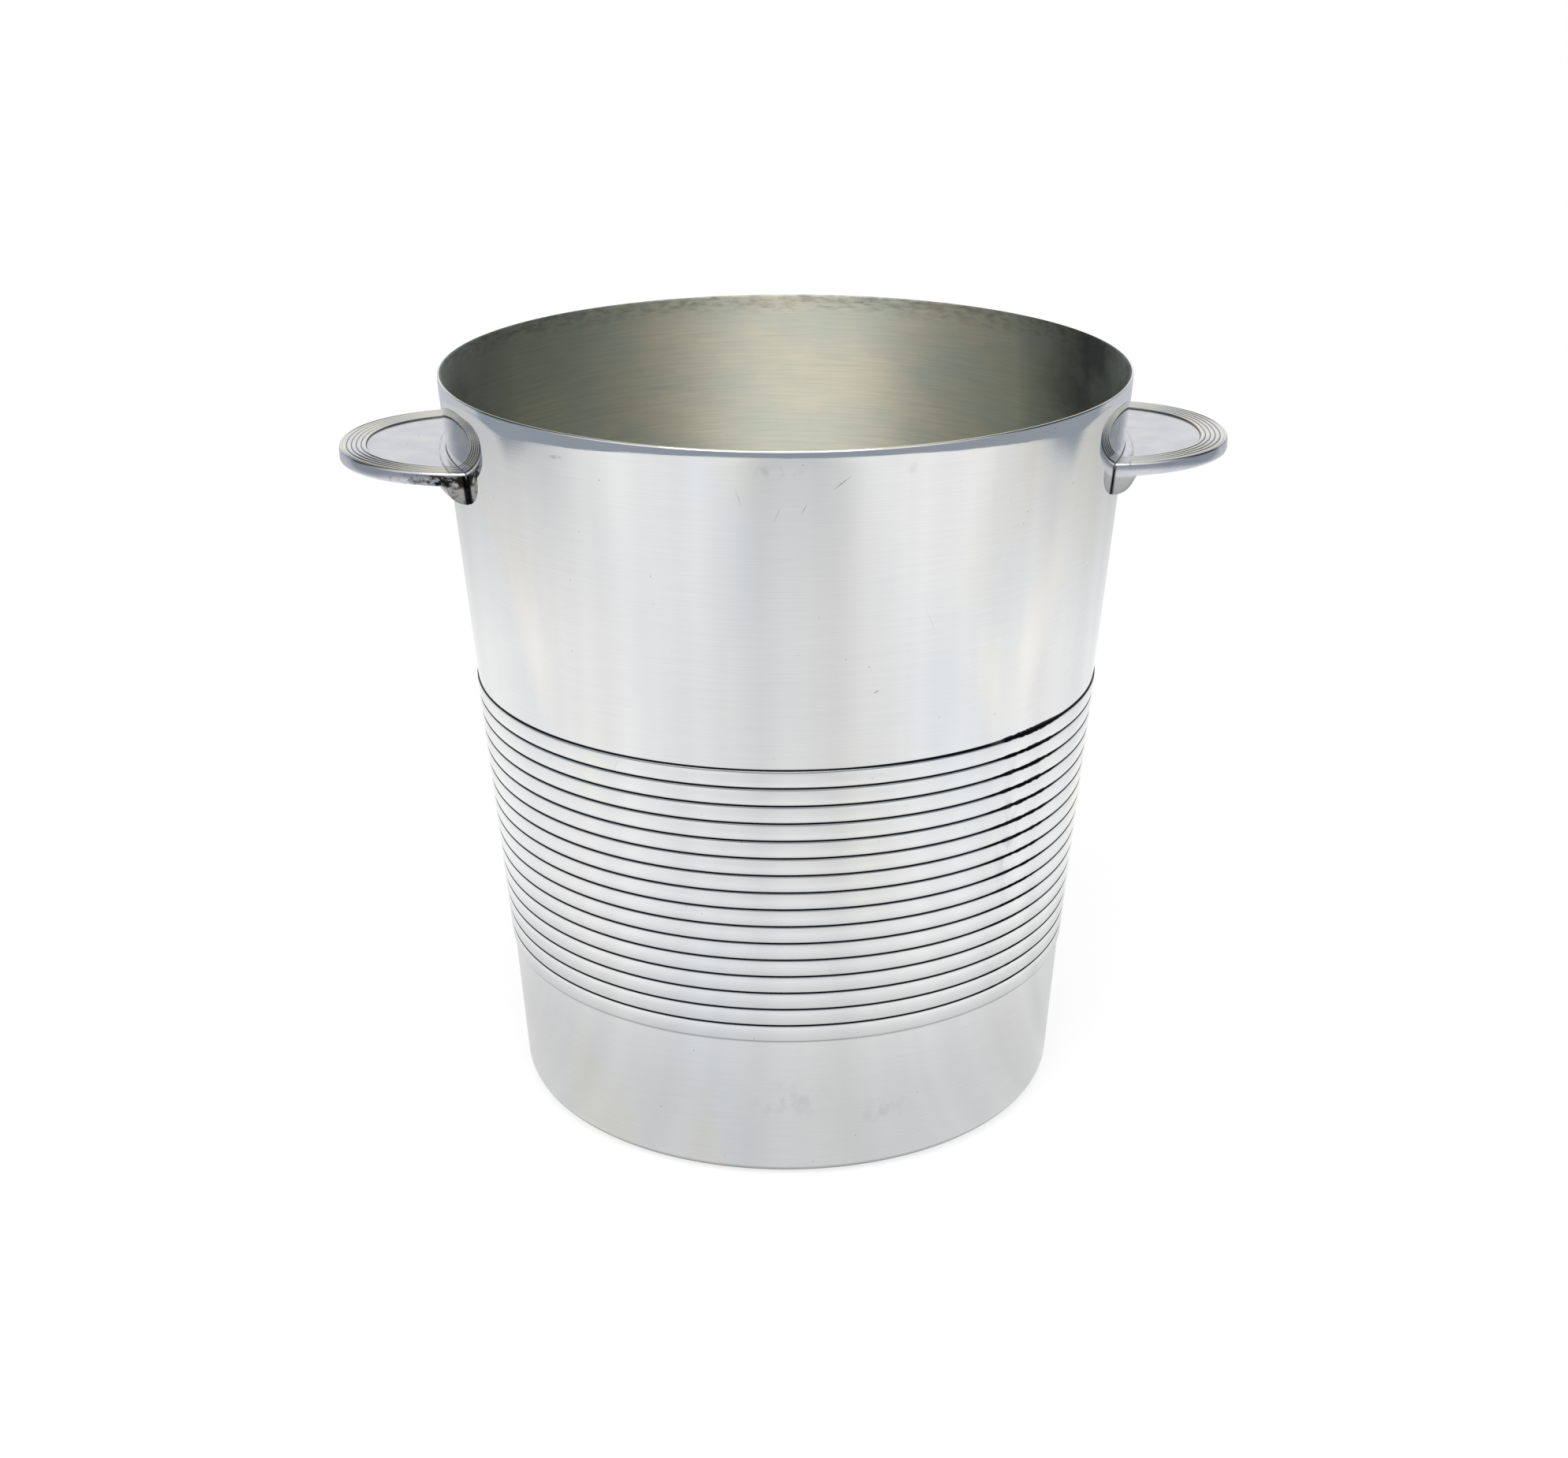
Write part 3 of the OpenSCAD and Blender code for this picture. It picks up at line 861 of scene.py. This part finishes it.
# The foot under the plate is greyed with painted shade, more on the left handle.
painted_foot_shade = add(tree, "Mix", {0: on_left, 2: 0.5, 3: 0.8})
painted_foot_shade = add(tree, "Math", {0: painted_foot_shade, 1: on_foot}, operation="MULTIPLY")
tone = add(tree, "Mix", {0: painted_foot_shade, 6: tone, 7: linear("#9B9892")}, data_type="RGBA")
black = add(tree, "Mix", {0: on_foot, 6: linear("#12171F"), 7: linear("#575048")},
            data_type="RGBA")
brown = add(tree, "Mix", {0: hue, 6: black, 7: linear("#3D3323")}, data_type="RGBA")
tone = add(tree, "Mix", {0: crusted, 6: tone, 7: brown}, data_type="RGBA")
for part in (on_side, in_front):
    painted_seam_shadow = add(tree, "Math", {0: painted_seam_shadow, 1: part}, operation="MULTIPLY")
tone = add(tree, "Mix", {0: painted_seam_shadow, 6: tone, 7: linear("#07090D")}, data_type="RGBA")
tree.links.new(tone.outputs[2], shader.inputs["Base Color"])
dull = add(tree, "Math", {0: crusted, 1: crease.outputs["Fac"]}, operation="MAXIMUM")
rough = add(tree, "MapRange", {0: dull, 3: CAST_ROUGH[0], 4: CAST_ROUGH[1]})
tree.links.new(rough.outputs[0], shader.inputs["Roughness"])
relief = add(tree, "Bump", {"Height": mottle, "Strength": 0.5, "Distance": CAST_DEEP})
tree.links.new(relief.outputs[0], shader.inputs["Normal"])
for handle in handles.values():
    handle.data.materials.append(cast)
print("cast nodes", len(tree.nodes))

# %% [markdown]
# ## Silver solder
# The seam between a handle and the wall is silver solder. It was never polished, so it has
# turned almost black, with grey metal only along its top, where a cloth has reached it.

# %% Tarnished solder
GRAIN = 1.2 * MM
GRAIN_DEEP = 0.1 * MM
SOLDER_ROUGH = 0.55

solder, tree, shader = new_material("tarnished_silver_solder")
place = add(tree, "TexCoord")
grain_at = add(tree, "Mapping", {0: place.outputs["Object"], 3: one_over(*[GRAIN] * 3)})
grain = add(tree, "TexNoise", {"Vector": grain_at, "Scale": 1.0, "Detail": 4.0})
black = add(tree, "MapRange", {0: grain, 1: 0.45, 2: 0.75})
tone = add(tree, "Mix", {0: black, 6: linear("#0A0C10"), 7: linear("#3B3A38")}, data_type="RGBA")
at = add(tree, "SeparateXYZ", {0: place.outputs["Object"]})
rubbed = add(tree, "MapRange", {0: at.outputs["Z"], 1: PLATE_TOP_Z - 2 * MM,
                                2: PLATE_TOP_Z - 1 * MM, 4: 0.8})
tone = add(tree, "Mix", {0: rubbed, 6: tone, 7: linear("#A2A4A9")}, data_type="RGBA")
tree.links.new(tone.outputs[2], shader.inputs["Base Color"])
shader.inputs["Roughness"].default_value = SOLDER_ROUGH
relief = add(tree, "Bump", {"Height": grain, "Distance": GRAIN_DEEP})
tree.links.new(relief.outputs[0], shader.inputs["Normal"])
for piece in fillers.values():
    piece.data.materials.append(solder)
print("solder nodes", len(tree.nodes))

# %% [markdown]
# ## The stage
# Polished silver shows little of itself and much of what stands round it. The bucket stands on
# a white table top, which is narrowest at its two sides and wide behind. The camera sees the
# room as plain white and the table as white with the bucket's soft shadow. All the other tones
# are painted for mirror rays alone.

# %% Table top
TABLE_R = 0.75
TABLE_NECK = 0.08
TABLE_GROW = 0.19
NECK_TURNS = (25, 82)
GROW_TURNS = (100, 122)
TABLE_STEPS = 180
TABLE_DROP = 0.02 * MM


def eased(value, start, end):
    """Zero before a start, one past an end, and a smooth step between."""
    t = min(1, max(0, (value - start) / (end - start)))
    return t * t * (3 - 2 * t)


def table_edge(step):
    """A point of the table's edge, which is nearest at the bucket's two sides."""
    turn = 360 * step / TABLE_STEPS - 180
    neck = TABLE_NECK * eased(abs(turn), *NECK_TURNS)
    radius = TABLE_R - neck + TABLE_GROW * eased(abs(turn), *GROW_TURNS)
    a = math.radians(turn)
    return (radius * math.sin(a), -radius * math.cos(a), -TABLE_DROP)


table = draw("table_top", [table_edge(step) for step in range(TABLE_STEPS)])
bpy.ops.mesh.edge_face_add()
bpy.ops.object.mode_set(mode="OBJECT")
print("table reaches", round(max(v.co.y for v in table.data.vertices), 2), "m behind the bucket")

# %% [markdown]
# The silver mirrors the table with these levels, as shares of white. It is darkest in the
# narrow shadow at the bucket's foot, dims a little in the bucket's wider shadow and again
# towards the room, and is streaked by soft rays of light from the middle outwards.

# %% Levels of the table in the silver
FOOT_SHADOW = {1: 0.0765, 2: 0.081, 3: 0.12, 4: 1.0}
WIDE_SHADOW = {1: 0.1, 2: 0.22, 3: 0.72, 4: 0.99}
MIDDLE = {1: 0.25, 2: 0.36, 3: 1.0, 4: 0.95}
OUTER = {1: 0.4, 2: 0.62, 3: 0.86, 4: 0.72}
OUTER_SIDES = {1: 0.05, 2: 0.28, 4: 1.0}
OUTER_FRONT = {1: -0.12, 2: -0.26}
BEYOND = {1: 0.4, 2: 0.68, 3: 1.0, 4: 0.68}
BEYOND_BACK = {1: -0.3, 2: -0.1}
RAYS = {1: 0.3, 2: 0.7, 3: 0.94, 4: 1.04}

paper = bpy.data.materials.new("white_table_top")
paper.use_nodes = True
tree = paper.node_tree
tree.nodes.clear()
place = add(tree, "TexCoord")
at = add(tree, "SeparateXYZ", {0: place.outputs["Object"]})
far = add(tree, "VectorMath", {0: place.outputs["Object"]}, operation="LENGTH")
inner = add(tree, "MapRange", {0: far, **WIDE_SHADOW}, interpolation_type="SMOOTHSTEP")
outer = add(tree, "MapRange", {0: far, **OUTER})
off_middle = add(tree, "Math", {0: at.outputs["X"]}, operation="ABSOLUTE")
ahead = add(tree, "MapRange", {0: off_middle, 3: outer, **OUTER_SIDES},
            interpolation_type="SMOOTHSTEP")
in_front = add(tree, "MapRange", {0: at.outputs["Y"], **OUTER_FRONT})
ahead = add(tree, "Mix", {0: in_front, 2: 1.0, 3: ahead})
contact = add(tree, "MapRange", {0: far, **FOOT_SHADOW})
middle = add(tree, "MapRange", {0: far, **MIDDLE})
beyond = add(tree, "MapRange", {0: far, **BEYOND})
not_ahead = add(tree, "MapRange", {0: at.outputs["Y"], **BEYOND_BACK})
beyond = add(tree, "Mix", {0: not_ahead, 2: 1.0, 3: beyond})
outward = add(tree, "VectorMath", {0: place.outputs["Object"]}, operation="NORMALIZE")
rays = add(tree, "TexNoise", {"Vector": outward, "Scale": 3.2, "Detail": 2.0})
rays = add(tree, "MapRange", {0: rays, **RAYS})
mirrored = inner
for part in (ahead, contact, middle, beyond, rays):
    mirrored = add(tree, "Math", {0: mirrored, 1: part}, operation="MULTIPLY")

# %% Fade of the table into the room
ROOM_GREY = "#98A0AA"
SCREEN_GREY = "#C8CBD1"
EDGE_GROWS = {1: 0.17, 2: 0.53, 3: TABLE_R - TABLE_NECK, 4: TABLE_R - TABLE_NECK + TABLE_GROW}
FADE_W = 0.07
FADE_BACK = {1: -0.12, 2: 0.02}
SCREEN_STARTS = {1: 0.42, 2: 0.6}
GLOW_SHARE = 0.74

toward_back = add(tree, "Math", {0: at.outputs["Y"], 1: far}, operation="DIVIDE")
edge_r = add(tree, "MapRange", {0: toward_back, **EDGE_GROWS}, interpolation_type="SMOOTHSTEP")
to_edge = add(tree, "Math", {0: edge_r, 1: far}, operation="SUBTRACT")
edge_fade = add(tree, "MapRange", {0: to_edge, 1: FADE_W, 2: 0.0}, interpolation_type="SMOOTHSTEP")
fade_here = add(tree, "MapRange", {0: at.outputs["Y"], **FADE_BACK})
edge_fade = add(tree, "Math", {0: edge_fade, 1: fade_here}, operation="MULTIPLY")
mirrored = add(tree, "Mix", {0: edge_fade, 2: mirrored, 3: 1.0})
path = add(tree, "LightPath")
in_mirror = path.outputs["Is Glossy Ray"]
level = add(tree, "Mix", {0: in_mirror, 2: 1.0, 3: mirrored})
fade_seen = add(tree, "Math", {0: edge_fade, 1: in_mirror}, operation="MULTIPLY")
at_back = add(tree, "MapRange", {0: toward_back, **SCREEN_STARTS})
edge_hue = add(tree, "Mix", {0: at_back, 6: linear(ROOM_GREY),
                             7: linear(SCREEN_GREY)}, data_type="RGBA")
hue = add(tree, "Mix", {0: fade_seen, 6: linear("#FFFFFF"), 7: edge_hue}, data_type="RGBA")
seen = add(tree, "Math", {0: path.outputs["Is Camera Ray"], 1: in_mirror}, operation="MAXIMUM")
share = add(tree, "Mix", {0: in_mirror, 2: GLOW_SHARE, 3: 1.0})
amount = add(tree, "Math", {0: seen, 1: share}, operation="MULTIPLY")
lit = add(tree, "BsdfDiffuse", {"Color": linear("#F8F8F8")})
glow = add(tree, "Emission", {"Color": hue, "Strength": level})
both = add(tree, "MixShader", {0: amount, 1: lit, 2: glow})
add(tree, "OutputMaterial", {"Surface": both})
table.data.materials.append(paper)
print("table shader nodes", len(tree.nodes))

# %% [markdown]
# The room is blue-grey low down. Its ceiling is white towards the front, right behind and
# overhead, and dark at the sides, which darkens both ends of the satin inside, together with the
# shade painted there. A pale screen stands behind the bucket. Each way is a unit direction: Y is
# back and Z is up.

# %% Room
SCREEN_WAY = {1: 0.48, 2: 0.56}
FAR_BEHIND = {1: 0.8, 2: 0.92}
CEILING_STARTS = {1: 0.02, 2: 0.12}
CEILING_FRONT = (-0.16, -0.987, 0)
FRONT_BRIGHT = {1: -0.12, 2: 0.68}
BACK_BRIGHT = {1: -0.84, 2: -0.95, 4: 0.75}
OVERHEAD_BRIGHT = {1: 0.75, 2: 0.95, 4: 0.7}
SCREEN_LOW = {1: -0.1, 2: 0.15}
SCREEN_ENDS = {1: 0.33, 2: 0.46}

room = bpy.data.worlds.new("room")
bpy.context.scene.world = room
room.use_nodes = True
tree = room.node_tree
tree.nodes.clear()
ray = add(tree, "TexCoord")
way = add(tree, "SeparateXYZ", {0: ray.outputs["Generated"]})
upper = add(tree, "MapRange", {0: way.outputs["Z"], **CEILING_STARTS})
behind = add(tree, "MapRange", {0: way.outputs["Y"], **SCREEN_WAY})
far_behind = add(tree, "MapRange", {0: way.outputs["Y"], **FAR_BEHIND})
level_way = add(tree, "CombineXYZ", {0: way.outputs["X"], 1: way.outputs["Y"]})
level_way = add(tree, "VectorMath", {0: level_way}, operation="NORMALIZE")
facing = add(tree, "VectorMath", {0: level_way, 1: CEILING_FRONT}, operation="DOT_PRODUCT")
ahead = add(tree, "MapRange", {0: facing, **FRONT_BRIGHT})
back = add(tree, "MapRange", {0: facing, **BACK_BRIGHT})
overhead = add(tree, "MapRange", {0: way.outputs["Z"], **OVERHEAD_BRIGHT})
bright = ahead
for part in (back, overhead):
    bright = add(tree, "Math", {0: bright, 1: part}, operation="MAXIMUM")
ceiling = add(tree, "Mix", {0: bright, 6: linear("#434849"), 7: linear("#FFFFFA")},
              data_type="RGBA")
screen_top = add(tree, "Mix", {0: far_behind, 6: linear("#B2B5BA"),
                               7: linear("#F2F2F2")}, data_type="RGBA")
low = add(tree, "MapRange", {0: way.outputs["Z"], **SCREEN_LOW})
screen = add(tree, "Mix", {0: low, 6: linear(SCREEN_GREY), 7: screen_top}, data_type="RGBA")
over_screen = add(tree, "MapRange", {0: way.outputs["Z"], **SCREEN_ENDS})
screen = add(tree, "Mix", {0: over_screen, 6: screen, 7: ceiling}, data_type="RGBA")
walls = add(tree, "Mix", {0: upper, 6: linear(ROOM_GREY), 7: ceiling}, data_type="RGBA")
walls = add(tree, "Mix", {0: behind, 6: walls, 7: screen}, data_type="RGBA")
path = add(tree, "LightPath")
shown = add(tree, "Mix", {0: path.outputs["Is Glossy Ray"], 6: linear("#FFFFFF"),
                          7: walls}, data_type="RGBA")
light = add(tree, "Background", {"Color": shown, "Strength": 1.0})
add(tree, "OutputWorld", {"Surface": light})
print("room nodes", len(tree.nodes))

# %% [markdown]
# One large soft lamp stands in front, high and a little to the left. The satin inside spreads
# its reflection into the warm highlight opposite, and the rounded lip draws it as a white line.

# %% Lamp
LAMP_AT = (-0.14, -0.85, 1.15)
LAMP_W = 1.3
LAMP_H = 0.8
LAMP_WATTS = 13
LAMP_AIM_H = 0.1

bpy.ops.object.light_add(type="AREA", location=LAMP_AT)
lamp = bpy.context.object
lamp.name = "soft_box"
lamp.data.shape = "RECTANGLE"
lamp.data.size = LAMP_W
lamp.data.size_y = LAMP_H
lamp.data.energy = LAMP_WATTS
aim_way = Vector((0, 0, LAMP_AIM_H)) - lamp.location
lamp.rotation_euler = aim_way.to_track_quat("-Z", "Y").to_euler()
bpy.context.scene.view_settings.view_transform = "Standard"
print("lamp", LAMP_WATTS, "W at", LAMP_AT)
